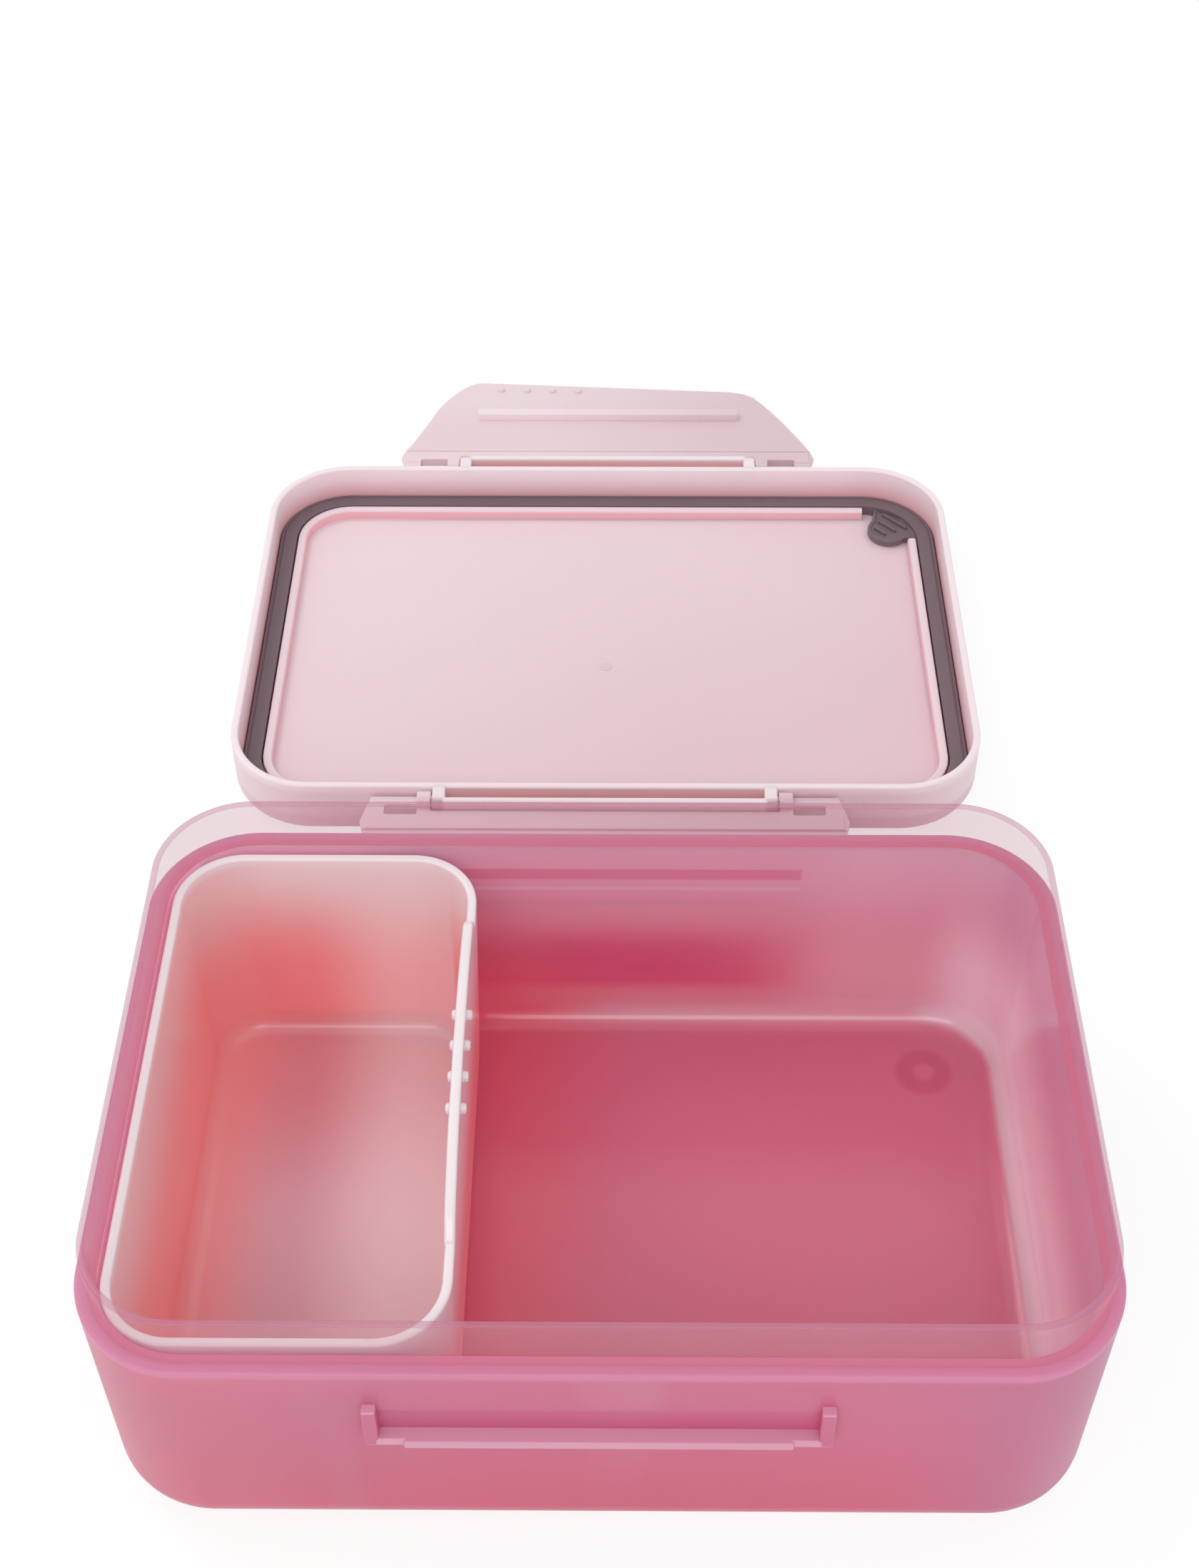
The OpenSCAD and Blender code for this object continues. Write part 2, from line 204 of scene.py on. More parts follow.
tubFinish["share"] = {
    "cloud": 0.14, "lit": 0.9, "bar": 0.45, "line": 0.5, "paintedShadow": 0.35, "shadowMore": 0.35,
    "endLight": 0.6, "endLightLess": 0.4, "footLight": 0.3, "ring": 0.5, "cupContactShade": 0.6,
    "fillet": 0.4, "filletHighlightMore": 0.35, "crevice": 0.5,
    "outerLeft": 0.6, "outerRight": 0.9, "streak": 0.3, "pocket": 0.55, "driftLeft": 0.05, "driftRight": 0.04,
}


def frostedPink(name, side, marks):
    s = Shade(name)
    place = s.place()
    cfg = tubFinish
    cloud = s.noise(place, *cfg["clouds"])
    base = s.mixColour(s.between(*cfg["at"]["shade"], s.axis(place, "Z")), side["foot"], side["top"])
    base, glow = marks(s, place, s.mixColour(cloud * cfg["share"]["cloud"], base, side["foot"]))
    s.surface({
        "Base Color": base,
        "Roughness": side["rough"] + (cloud - 0.5) * cfg["roughSpread"],
        "IOR": 1.49,
        "Transmission Weight": cfg["through"],
        "Subsurface Weight": cfg["glow"],
        "Subsurface Radius": cfg["glowReach"],
        "Subsurface Scale": 1.0,
        "Emission Color": glow,
        "Emission Strength": 1.0,
        "Normal": s.bump(s.noise(place, *cfg["grains"]), side["grainDeep"] * mm),
    })
    return s.material


def outerMarks(s, place, base):
    # the tint wanders from coral at one end to dusky magenta; the ledge's top band gets a painted highlight
    # and the catch's pocket painted shade
    cfg, at, share = tubFinish, tubFinish["at"], tubFinish["share"]
    across, height = s.axis(place, "X"), s.axis(place, "Z")
    squashed = s.add("VectorMath", {"operation": "MULTIPLY"}, {0: place, 1: cfg["streakSquash"]}, "Vector")
    streak = s.noise(squashed, *cfg["streaks"])
    left = 1 - s.between(*at["outerLeft"], across + (streak - 0.5) * share["driftLeft"])
    right = s.between(*at["outerRight"], across + (streak - 0.5) * share["driftRight"])
    base = s.mixColour(left * share["outerLeft"], base, cfg["outerLeft"])
    base = s.mixColour(right * share["outerRight"], base, cfg["outerRight"])
    base = s.mixColour(s.between(*cfg["streakAt"], streak) * share["streak"], base, cfg["catch"])
    # painted highlight along the ledge's top band
    base = s.mixColour(s.between(*at["ledge"], height), base, cfg["ledge"])
    # painted shade in the catch's pocket
    nearMiddle = 1 - s.between(*at["pocketEnd"], across.maths("ABSOLUTE"))
    pocket = s.zone(at["pocketRise"], at["pocketFall"], height) * nearMiddle
    return s.mixColour(pocket * share["pocket"], base, cfg["pocket"]), (0, 0, 0)


def innerMarks(s, place, base):
    cfg, at, share = tubFinish, tubFinish["at"], tubFinish["share"]
    across, along, height = (s.axis(place, letter) for letter in "XYZ")
    # the free end wall is deeper above and catches light from outside low down
    endWall = s.between(*at["endWall"], across) * s.between(*at["endWallUp"], height)
    base = s.mixColour(endWall, base, cfg["endWall"])
    lit = s.between(*at["lit"], across) * s.zone(at["litRise"], at["litFall"], height)
    base = s.mixColour(lit * share["lit"], base, cfg["sideLit"])
    # the catch shows through the long walls as a darker band over a painted light line, and a painted shadow
    # lies lower on them
    longWall = s.between(*at["longWall"], along.maths("ABSOLUTE"))
    nearMiddle = 1 - s.between(*at["catchEnd"], across.maths("ABSOLUTE"))
    bar = s.zone(at["barRise"], at["barFall"], height) * nearMiddle
    line = s.zone(at["lineRise"], at["lineFall"], height) * nearMiddle
    paintedShadow = s.zone(at["shadowRise"], at["shadowFall"], height) * (1 - s.between(*at["shadeEnd"], across))
    paintedShadow = paintedShadow * (share["paintedShadow"] + s.between(*at["shadowStart"], across) * share["shadowMore"])
    base = s.mixColour(longWall * (bar * share["bar"] + paintedShadow).clamp(), base, cfg["paintedShadow"])
    base = s.mixColour(longWall * line * share["line"], base, cfg["sideLit"])
    # painted light: the long walls turn paler towards the free end, as light comes through them, and catch
    # light at their foot
    towardsEnd = s.between(*at["endLight"], across)
    endLight = towardsEnd * (share["endLight"] - s.between(*at["endLightFade"], height) * share["endLightLess"])
    footLight = (1 - s.between(*at["footLight"], height)) * (1 - towardsEnd)
    pale = s.between(*at["aboveFillet"], height) * (endLight + footLight * share["footLight"])
    base = s.mixColour(longWall * pale, base, cfg["sideLit"])
    # round moulding marks near the floor's corners
    acrossX = across.maths("ABSOLUTE") - at["ring"][0]
    acrossY = along.maths("ABSOLUTE") - at["ring"][1]
    away = (acrossX * acrossX + acrossY * acrossY).maths("SQRT")
    ring = s.zone(at["ringRise"], at["ringFall"], away) * (1 - s.between(*at["offFloor"], height))
    base = s.mixColour(ring * share["ring"], base, cfg["ring"])
    # painted contact shadow on the floor and low walls beside the side container; the same zone also carries
    # a faint painted glow
    cupContactShade = (1 - s.between(*at["cupContactShade"], across)) * (1 - s.between(*at["cupContactShadeUp"], height))
    base = s.mixColour(cupContactShade * share["cupContactShade"], base, cfg["cupContactShade"])
    # painted highlight along the fillet between floor and walls, brighter towards the free end
    fillet = s.zone(at["filletRise"], at["filletFall"], height) * s.between(*at["filletStart"], across)
    filletHighlight = share["fillet"] + s.between(*at["filletBright"], across) * share["filletHighlightMore"]
    base = s.mixColour(fillet * filletHighlight, base, cfg["sideLit"])
    # light that comes through the thin walls: behind the side container, beside it, and low on the end wall
    besideCup = longWall * (1 - s.between(*at["cupFree"], across)) * share["crevice"]
    behindCup = s.between(*at["cupBack"], across) + besideCup
    crevice = behindCup.clamp() * s.zone(at["creviceRise"], at["creviceFall"], height)
    glow = s.mixColour(cupContactShade, (0, 0, 0), cfg["cupSideGlow"])
    glow = s.mixColour(lit, glow, cfg["wallGlow"])
    return base, s.mixColour(crevice, glow, cfg["creviceGlow"])


def clearCollar(name):
    s = Shade(name)
    place = s.place()
    cfg = tubFinish
    cloud = s.noise(place, *cfg["collarClouds"])
    rim = s.between(*cfg["collarRimAt"], s.axis(place, "Z"))
    s.surface({
        "Base Color": s.mixColour(rim, cfg["collar"], cfg["collarRim"]),
        "Roughness": cfg["collarRough"] + cloud * cfg["collarRoughMore"],
        "IOR": 1.49,
        "Alpha": cfg["collarSolid"] + rim * (cfg["rimSolid"] - cfg["collarSolid"]),
        "Normal": s.bump(s.noise(place, *cfg["collarWaves"]), cfg["waveDeep"] * mm),
    })
    return s.material


moulded = {
    "rough": 0.4, "paleRough": 0.42, "roughSpread": 0.1, "soft": 0.15, "reach": (0.004, 0.0014, 0.0016),
    "clouds": (9, 3), "cloudShare": 0.35, "grains": (2400, 3), "grainDeep": 0.012,
}


def opaqueMoulded(s, place, base, cloud, rough, soft=moulded["soft"], reach=moulded["reach"]):
    s.surface({
        "Base Color": base,
        "Roughness": rough + (cloud - 0.5) * moulded["roughSpread"],
        "IOR": 1.5,
        "Subsurface Weight": soft,
        "Subsurface Radius": reach,
        "Subsurface Scale": 1.0,
        "Normal": s.bump(s.noise(place, *moulded["grains"]), moulded["grainDeep"] * mm),
    })
    return s.material


def paleMoulded(name, colour, deeper, soft=moulded["soft"]):
    s = Shade(name)
    place = s.place()
    cloud = s.noise(place, *moulded["clouds"])
    base = s.mixColour(cloud * moulded["cloudShare"], colour, deeper)
    return opaqueMoulded(s, place, base, cloud, moulded["paleRough"], soft)


# painted light and shade among these: a deeper run across the panel, a lighter rim, and rosy shade in
# recesses and the bracket gap
lidFinish = {
    "pale": (0.90, 0.73, 0.77), "paleShade": (0.80, 0.58, 0.64), "rim": (0.95, 0.82, 0.85),
    "slope": (-0.28, -0.06), "shadeAcross": 0.6, "shadeDrift": 0.04, "cloudShare": 0.175,
    "panelTop": (0.0052, 0.0074), "rimLightUp": (0.0135, 0.0155), "rosyCloud": 0.2,
    "rosyLow": (0.93, 0.50, 0.56), "rosyHigh": (0.99, 0.88, 0.90), "rosyFade": (0.005, 0.0155),
    "gapLow": (1.0, 0.55, 0.56), "gapHigh": (0.97, 0.74, 0.76), "gapFade": (0.0125, 0.0162),
}


def paleWithPaintedShade(name, cfg):
    # painted shade deepening from the far left to the near right below the panel's top, and painted light on
    # the rim
    s = Shade(name)
    place = s.place()
    across, along, height = (s.axis(place, letter) for letter in "XYZ")
    cloud = s.noise(place, *moulded["clouds"])
    shadeRun = s.between(*cfg["slope"], across * cfg["shadeAcross"] - along + cloud * cfg["shadeDrift"])
    share = cloud * cfg["cloudShare"] + shadeRun * (1 - s.between(*cfg["panelTop"], height))
    base = s.mixColour(share.clamp(), cfg["pale"], cfg["paleShade"])
    base = s.mixColour(s.between(*cfg["rimLightUp"], height), base, cfg["rim"])
    return opaqueMoulded(s, place, base, cloud, moulded["paleRough"])


def rosyRecess(name, low, high, fade):
    # walls inside the lid and behind the brackets, where the light goes round and turns pink
    s = Shade(name)
    place = s.place()
    cloud = s.noise(place, *moulded["clouds"])
    tone = s.mixColour(s.between(*fade, s.axis(place, "Z")), low, high)
    base = s.mixColour(cloud * lidFinish["rosyCloud"], tone, low)
    return opaqueMoulded(s, place, base, cloud, moulded["rough"])


# among these, painted shade and light: a darker floor back and far left corner, a paler free side and a faint
# coral glow
cupFinish = {
    "rim": (0.98, 0.87, 0.90), "upper": (0.99, 0.83, 0.85), "upperLeft": (0.99, 0.69, 0.70),
    "coral": (0.98, 0.385, 0.39), "shadedCoral": (0.92, 0.25, 0.26), "coralGlow": (0.05, 0.010, 0.010),
    "floor": (0.76, 0.44, 0.52), "floorBackShade": (0.72, 0.29, 0.36),
    "through": 0.05, "glow": 0.3, "glowReach": (0.007, 0.004, 0.004),
    "clouds": (11, 3), "rough": 0.22, "roughSpread": 0.08, "grains": (2200, 2), "grainDeep": 0.01,
}
cupFinish["at"] = {
    "lowFall": (0.022, 0.056), "floorFall": (0.0042, 0.0100), "rim": (0.0545, 0.0566),
    "warm": (-0.066, -0.086), "left": (-0.070, -0.084), "back": (-0.004, 0.040),
    "cornerShadeRise": (-0.087, -0.072), "cornerShadeFall": (-0.068, -0.046), "cornerShadeBack": (0.010, 0.050),
    "freeRise": (-0.066, -0.042), "freeFall": (-0.0335, -0.0325),
}
cupFinish["share"] = {"warm": 0.8, "cornerShade": 0.55, "cornerShadeOffFloor": 0.7, "free": 0.6, "cloud": 0.1}


def milkyMoulded(name):
    s = Shade(name)
    place = s.place()
    cfg, at, share = cupFinish, cupFinish["at"], cupFinish["share"]
    across, along, height = (s.axis(place, letter) for letter in "XYZ")
    cloud = s.noise(place, *cfg["clouds"])
    low = 1 - s.between(*at["lowFall"], height)
    floorShare = 1 - s.between(*at["floorFall"], height)
    floorSeen = floorShare * (1 - s.between(*at["warm"], across) * share["warm"])
    # painted shade: the floor darker towards the back
    floorTone = s.mixColour(s.between(*at["back"], along), cfg["floor"], cfg["floorBackShade"])
    upper = s.mixColour(s.between(*at["left"], across), cfg["upper"], cfg["upperLeft"])
    tone = s.mixColour(floorSeen, s.mixColour(low, upper, cfg["coral"]), floorTone)
    # painted shade, deepest in the far left corner, and painted light, palest towards the free wall's inner
    # side
    cornerShade = s.zone(at["cornerShadeRise"], at["cornerShadeFall"], across) * s.between(*at["cornerShadeBack"], along)
    cornerShade = cornerShade * low * (1 - floorShare * share["cornerShadeOffFloor"])
    tone = s.mixColour(cornerShade * share["cornerShade"], tone, cfg["shadedCoral"])
    freeSideLight = s.zone(at["freeRise"], at["freeFall"], across)
    tone = s.mixColour(freeSideLight * share["free"], tone, cfg["upper"])
    tone = s.mixColour(s.between(*at["rim"], height), tone, cfg["rim"])
    s.surface({
        "Base Color": s.mixColour(cloud * share["cloud"], tone, cfg["upper"]),
        "Roughness": cfg["rough"] + (cloud - 0.5) * cfg["roughSpread"],
        "IOR": 1.49,
        "Transmission Weight": cfg["through"],
        "Subsurface Weight": cfg["glow"],
        "Subsurface Radius": cfg["glowReach"],
        "Subsurface Scale": 1.0,
        # painted glow: the lower walls glow faintly coral, for light that comes through them
        "Emission Color": s.mixColour(low * (1 - floorSeen), (0, 0, 0), cfg["coralGlow"]),
        "Emission Strength": 1.0,
        "Normal": s.bump(s.noise(place, *cfg["grains"]), cfg["grainDeep"] * mm),
    })
    return s.material


sealFinish = {
    "rubber": (0.195, 0.140, 0.162), "rubberDeep": (0.165, 0.118, 0.138),
    "clouds": (30, 4), "cloudShare": 0.5, "rough": 0.5, "roughSpread": 0.1,
    "grains": (3000, 2), "grainDeep": 0.015,
}


def sealRubber(name, cfg):
    s = Shade(name)
    place = s.place()
    cloud = s.noise(place, *cfg["clouds"])
    s.surface({
        "Base Color": s.mixColour(cloud * cfg["cloudShare"], cfg["rubber"], cfg["rubberDeep"]),
        "Roughness": cfg["rough"] + (cloud - 0.5) * cfg["roughSpread"],
        "IOR": 1.41,
        "Normal": s.bump(s.noise(place, *cfg["grains"]), cfg["grainDeep"] * mm),
    })
    return s.material


# the numbers of a piece's finishes, as its faces name them
outerSkin, innerSkin, collarSkin, litCatchSkin, footSkin = range(5)
rosySkin, gapShadeSkin, litRibSkin = 1, 2, 1
tubSkins = [
    frostedPink("frostedOuter", tubFinish["outer"], outerMarks),
    frostedPink("frostedInner", tubFinish["inner"], innerMarks),
    clearCollar("clearCollar"),
    # the catch's lighter colour, used as painted light on its lit faces
    paleMoulded("paintedLitCatch", tubFinish["catch"], tubFinish["outer"]["top"]),
    paleMoulded("collarFoot", tubFinish["collarFoot"], tubFinish["outer"]["top"], 0),
]
lidSkins = [
    paleWithPaintedShade("paleLid", lidFinish),
    rosyRecess("rosyLid", lidFinish["rosyLow"], lidFinish["rosyHigh"], lidFinish["rosyFade"]),
    rosyRecess("gapShadeSheet", lidFinish["gapLow"], lidFinish["gapHigh"], lidFinish["gapFade"]),
]
cupMilk = milkyMoulded("milkyCup")
sealGrey = sealRubber("sealRubber", sealFinish)
print("finishes made")


# shared modelling steps, in millimetres

welding = 0.002  # points closer than this become one
hair = 0.01  # places closer than this count as the same
shadeSet = {"sharpAngle": 32, "weight": 60}


def vertsOf(geom):
    return [g for g in geom if isinstance(g, bmesh.types.BMVert)]


def edgesOf(geom):
    return [g for g in geom if isinstance(g, bmesh.types.BMEdge)]


def reachOf(co, core):
    return math.hypot(max(abs(co.x) - core[0], 0), max(abs(co.y) - core[1], 0))


def drawSection(bm, points):
    verts = [bm.verts.new(point) for point in points]
    return verts + [bm.edges.new(pair) for pair in zip(verts, verts[1:])]


def turnSection(bm, last, centre, steps):
    turned = bmesh.ops.spin(bm, geom=last, cent=(*centre, 0), axis=(0, 0, 1), angle=quarter, steps=steps)
    return turned["geom_last"]


def slideSection(bm, last, here, after):
    grown = bmesh.ops.extrude_edge_only(bm, edges=edgesOf(last))["geom"]
    last = [g for g in grown if not isinstance(g, bmesh.types.BMFace)]
    bmesh.ops.translate(bm, verts=vertsOf(last), vec=(after[0] - here[0], after[1] - here[1], 0))
    return last


def sweepRound(bm, section, core, steps):
    # a section of (reach, height) points goes round a rounded rectangle, corner by corner
    coreX, coreY = core
    last = drawSection(bm, [(coreX + reach, coreY, height) for reach, height in section])
    stops = [(coreX, coreY), (-coreX, coreY), (-coreX, -coreY), (coreX, -coreY)]
    for here, after in zip(stops, stops[1:] + stops[:1]):
        last = slideSection(bm, turnSection(bm, last, here, steps), here, after)
    bmesh.ops.remove_doubles(bm, verts=bm.verts, dist=welding)


def closeHoles(bm):
    bmesh.ops.holes_fill(bm, edges=[e for e in bm.edges if e.is_boundary], sides=0)
    bmesh.ops.recalc_face_normals(bm, faces=bm.faces)


def softenAll(bm, geom, size, segments, affect="EDGES", limit=False):
    return bmesh.ops.bevel(bm, geom=geom, offset=size, offset_type="OFFSET", affect=affect,
                           segments=segments, profile=0.5, material=-1, clamp_overlap=limit)


def roundRing(bm, core, reach, height, size, segments=4):
    # rounds the ring of edges that lies at this reach and height
    def near(v):
        return abs(v.co.z - height) < hair and abs(reachOf(v.co, core) - reach) < 2 * hair
    softenAll(bm, [e for e in bm.edges if near(e.verts[0]) and near(e.verts[1])], size, segments, limit=True)


def creases(bm, angle):
    return [e for e in bm.edges if e.is_manifold and e.calc_face_angle() > angle]


def turnAll(bm, angle, axis):
    bmesh.ops.rotate(bm, verts=bm.verts, cent=(0, 0, 0), matrix=Matrix.Rotation(angle, 3, axis))


def thicken(bm, vec):
    # a flat outline becomes a closed plate
    grown = bmesh.ops.extrude_face_region(bm, geom=bm.faces[:])["geom"]
    bmesh.ops.translate(bm, verts=vertsOf(grown), vec=vec)
    bmesh.ops.recalc_face_normals(bm, faces=bm.faces)


def addBlock(bm, corner, opposite, bevel=0.0, segments=3):
    # the two corners may come in any order, so mirrored blocks need no sorting
    made = bmesh.ops.create_cube(bm, size=1)["verts"]
    bmesh.ops.scale(bm, verts=made, vec=[abs(b - a) for a, b in zip(corner, opposite)])
    bmesh.ops.translate(bm, verts=made, vec=[(a + b) / 2 for a, b in zip(corner, opposite)])
    if bevel:
        softenAll(bm, list({e for v in made for e in v.link_edges}), bevel, segments)


def addRod(bm, centre, radius, length, axis, segments, bevel):
    made = bmesh.ops.create_cone(bm, cap_ends=True, segments=segments, radius1=radius, radius2=radius,
                                 depth=length)["verts"]
    edges = {e for v in made for e in v.link_edges}
    rims = [e for e in edges if abs(e.verts[0].co.z - e.verts[1].co.z) < hair]
    made = {v for v in set(made) | set(softenAll(bm, rims, bevel, 3)["verts"]) if v.is_valid}
    if axis == "X":
        bmesh.ops.rotate(bm, verts=list(made), cent=(0, 0, 0), matrix=Matrix.Rotation(quarter, 3, "Y"))
    bmesh.ops.translate(bm, verts=list(made), vec=centre)


def linkMesh(name, mesh):
    piece = bpy.data.objects.new(name, mesh)
    bpy.context.scene.collection.objects.link(piece)
    return piece


def makePiece(name, bm, materials, place=(0, 0, 0)):
    bmesh.ops.translate(bm, verts=bm.verts, vec=place)
    bmesh.ops.scale(bm, verts=bm.verts, vec=(mm, mm, mm))
    mesh = bpy.data.meshes.new(name)
    bm.to_mesh(mesh)
    bm.free()
    for material in materials:
        mesh.materials.append(material)
    return linkMesh(name, mesh)


def joinMesh(bm, other):
    spare = bpy.data.meshes.new("spare")
    other.to_mesh(spare)
    other.free()
    bm.from_mesh(spare)
    bpy.data.meshes.remove(spare)


def blendIn(piece, tool, kind):
    # joins or cuts one closed mesh into another and drops the tool
    step = piece.modifiers.new(kind.lower(), "BOOLEAN")
    step.operation = kind
    step.solver = "EXACT"
    step.object = tool
    bpy.context.view_layer.update()
    merged = bpy.data.meshes.new_from_object(piece.evaluated_get(bpy.context.evaluated_depsgraph_get()))
    piece.modifiers.clear()
    old = piece.data
    piece.data = merged
    merged.name = piece.name
    bpy.data.meshes.remove(old)
    bpy.data.objects.remove(tool)


def shapeBy(bm, tool, kind):
    # the same on two meshes still being built; both are used up and the result is a new one
    bench = []
    for part in (bm, tool):
        mesh = bpy.data.meshes.new("bench")
        part.to_mesh(mesh)
        part.free()
        bench.append(linkMesh("bench", mesh))
    blendIn(bench[0], bench[1], kind)
    result = bmesh.new()
    result.from_mesh(bench[0].data)
    bpy.data.meshes.remove(bench[0].data)
    return result


def finishPiece(piece, node, body):
    piece.data.polygons.foreach_set("use_smooth", [True] * len(piece.data.polygons))
    piece.data.set_sharp_from_angle(angle=math.radians(shadeSet["sharpAngle"]))
    weigh = piece.modifiers.new("weigh", "WEIGHTED_NORMAL")
    weigh.keep_sharp = True
    weigh.weight = shadeSet["weight"]
    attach(piece, body)
    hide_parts(node)
    print(piece.name, "done,", len(piece.data.polygons), "faces")


# the box

# middle is the reach where the flat middle starts, and edges and fillets are radii
# a root is how far inside the wall a block starts, so that the two are joined
boxSet = {
    "width": 185.0, "depth": 126.4, "corner": 19.1, "height": 70.0, "floor": 2.2, "draft": 1.0, "middle": 3.0,
    "collarWall": 1.4, "collarHeight": 12.0, "collarEdge": 0.5, "ledge": 2.4, "ledgeEdge": 0.6,
    "baseFillet": 10.0, "innerFillet": 6.5, "skinSlack": 0.5,
    "overlap": 0.02, "sunk": 0.05,  # of the collar into the ledge, sideways and down
    "catchX": 42.2, "catchZ": 37.0, "catchBar": 2.1,
    "barOut": 2.4, "barHalf": 35.0, "barRoot": 1.6, "barEdge": 0.4, "barShort": 0.2, "barDrop": 0.02,
    "postWidth": 2.7, "postHeight": 11.0, "postOut": 1.8, "postRoot": 1.5, "postEdge": 0.45, "litSlope": 0.3,
    "pocket": 0.7, "pocketTop": 2.0, "pocketEdge": 0.5, "pocketReach": 5.0, "steps": 24, "filletSteps": 10,
}
core = (boxSet["width"] / 2 - boxSet["corner"], boxSet["depth"] / 2 - boxSet["corner"])
wallY = boxSet["depth"] / 2 + boxSet["ledge"]
ledgeZ = boxSet["height"] - boxSet["collarHeight"]


def innerAt(cfg, height):
    # reach of the inner wall, which leans in towards the floor
    low, high = cfg["floor"], cfg["height"]
    return cfg["corner"] - cfg["collarWall"] - cfg["draft"] * (high - height) / (high - low)


def makeBox(cfg):
    outer = cfg["corner"] + cfg["ledge"]
    foot, ledgeIn = innerAt(cfg, cfg["floor"]), innerAt(cfg, ledgeZ)
    bm = bmesh.new()
    section = [
        (cfg["middle"], 0), (outer - cfg["draft"], 0), (outer, ledgeZ), (cfg["corner"], ledgeZ),
        (ledgeIn, ledgeZ), (foot, cfg["floor"]), (cfg["middle"], cfg["floor"])]
    sweepRound(bm, section, core, cfg["steps"])
    closeHoles(bm)
    roundRing(bm, core, outer - cfg["draft"], 0, cfg["baseFillet"], cfg["filletSteps"])
    roundRing(bm, core, foot, cfg["floor"], cfg["innerFillet"], cfg["filletSteps"])
    roundRing(bm, core, outer, ledgeZ, cfg["ledgeEdge"])
    for face in bm.faces:
        mid = face.calc_center_median()
        away = reachOf(mid, core)
        if away < ledgeIn + 5 * hair and cfg["floor"] - cfg["skinSlack"] < mid.z < ledgeZ - hair:
            face.material_index = innerSkin
        elif mid.z > ledgeZ - hair and away < cfg["corner"]:
            face.material_index = footSkin
    return makePiece("tub", bm, tubSkins)


def addCollar(piece, cfg):
    # the clear collar is a closed ring that stands on the ledge
    top, outer, inner = cfg["height"], cfg["corner"], cfg["corner"] - cfg["collarWall"]
    ledgeIn, root = innerAt(cfg, ledgeZ) + cfg["overlap"], ledgeZ - cfg["sunk"]
    bm = bmesh.new()
    section = [(outer, root), (outer, top), (inner, top), (ledgeIn, ledgeZ), (ledgeIn, root), (outer, root)]
    sweepRound(bm, section, core, cfg["steps"])
    bmesh.ops.recalc_face_normals(bm, faces=bm.faces)
    roundRing(bm, core, outer, top, cfg["collarEdge"])
    roundRing(bm, core, inner, top, cfg["collarEdge"])
    for face in bm.faces:
        face.material_index = collarSkin
    bmesh.ops.scale(bm, verts=bm.verts, vec=(mm, mm, mm))
    bm.from_mesh(piece.data)
    bm.to_mesh(piece.data)
    bm.free()


def catchPosts(cfg):
    bm = bmesh.new()
    near, far = wallY - cfg["postRoot"], wallY + cfg["postOut"]
    low, high = cfg["catchZ"], cfg["catchZ"] + cfg["postHeight"]
    for side in (-1, 1):
        for end in (-1, 1):
            inner, outer = end * (cfg["catchX"] - cfg["postWidth"]), end * cfg["catchX"]
            addBlock(bm, (inner, side * near, low), (outer, side * far, high), cfg["postEdge"])
    for face in bm.faces:
        # the posts' tops get the catch's lighter colour as painted light
        face.material_index = litCatchSkin if face.normal.z > cfg["litSlope"] else outerSkin
    return makePiece("catchPosts", bm, tubSkins)


def catchBars(cfg, out, half, drop):
    bm = bmesh.new()
    near, far = wallY - cfg["barRoot"], wallY + out
    low, high = cfg["catchZ"] - drop, cfg["catchZ"] + cfg["catchBar"]
    for side in (-1, 1):
        addBlock(bm, (-half, side * near, low), (half, side * far, high), cfg["barEdge"])
    # the bars get the catch's lighter colour all over, as painted light
    for face in bm.faces:
        face.material_index = litCatchSkin
    return makePiece("catchBars", bm, tubSkins)


def pocketCutters(cfg):
    bm = bmesh.new()
    near, far = wallY - cfg["pocket"], wallY + cfg["pocketReach"]
    low = cfg["catchZ"] + cfg["catchBar"] / 2
    high = cfg["catchZ"] + cfg["postHeight"] - cfg["pocketTop"]
    half = cfg["catchX"] - cfg["postWidth"] / 2
    for side in (-1, 1):
        addBlock(bm, (-half, side * near, low), (half, side * far, high), cfg["pocketEdge"])
    return makePiece("pockets", bm, tubSkins)


tub = makeBox(boxSet)
blendIn(tub, pocketCutters(boxSet), "DIFFERENCE")
blendIn(tub, catchPosts(boxSet), "UNION")
blendIn(tub, catchBars(boxSet, boxSet["postOut"], boxSet["catchX"] - boxSet["barShort"], 0), "UNION")
blendIn(tub, catchBars(boxSet, boxSet["barOut"], boxSet["barHalf"], boxSet["barDrop"]), "UNION")
addCollar(tub, boxSet)
finishPiece(tub, "box_body", "box")


# the side container

cupSet = {
    "width": 63.8, "depth": 119.2, "height": 55.3, "corner": 14.0, "wall": 1.9, "floor": 1.6, "taper": 1.5,
    "middle": 2.0, "fillet": 6.0, "filletSteps": 8, "rimEdge": 0.6, "sideX": 26.4, "steps": 18,
    "tabHalf": 38.5, "tabHigh": 9.3, "tabEnd": 5.6, "tabThick": 2.1, "tabRoot": 2.0, "tabEdge": 0.6,
    "tabBends": 3.2, "tabBendsAt": 3.0, "tabFoot": 0.9, "tabCrease": 1.2,  # the crease is an angle in radians
    "nubs": 4, "nubPitch": 7.6, "nubRadius": 1.1, "nubSides": 20, "nubOut": 1.0, "nubEdge": 0.5,
    "nubAt": (0.2, 4.6),
}
cupRim = boxSet["floor"] + cupSet["height"]


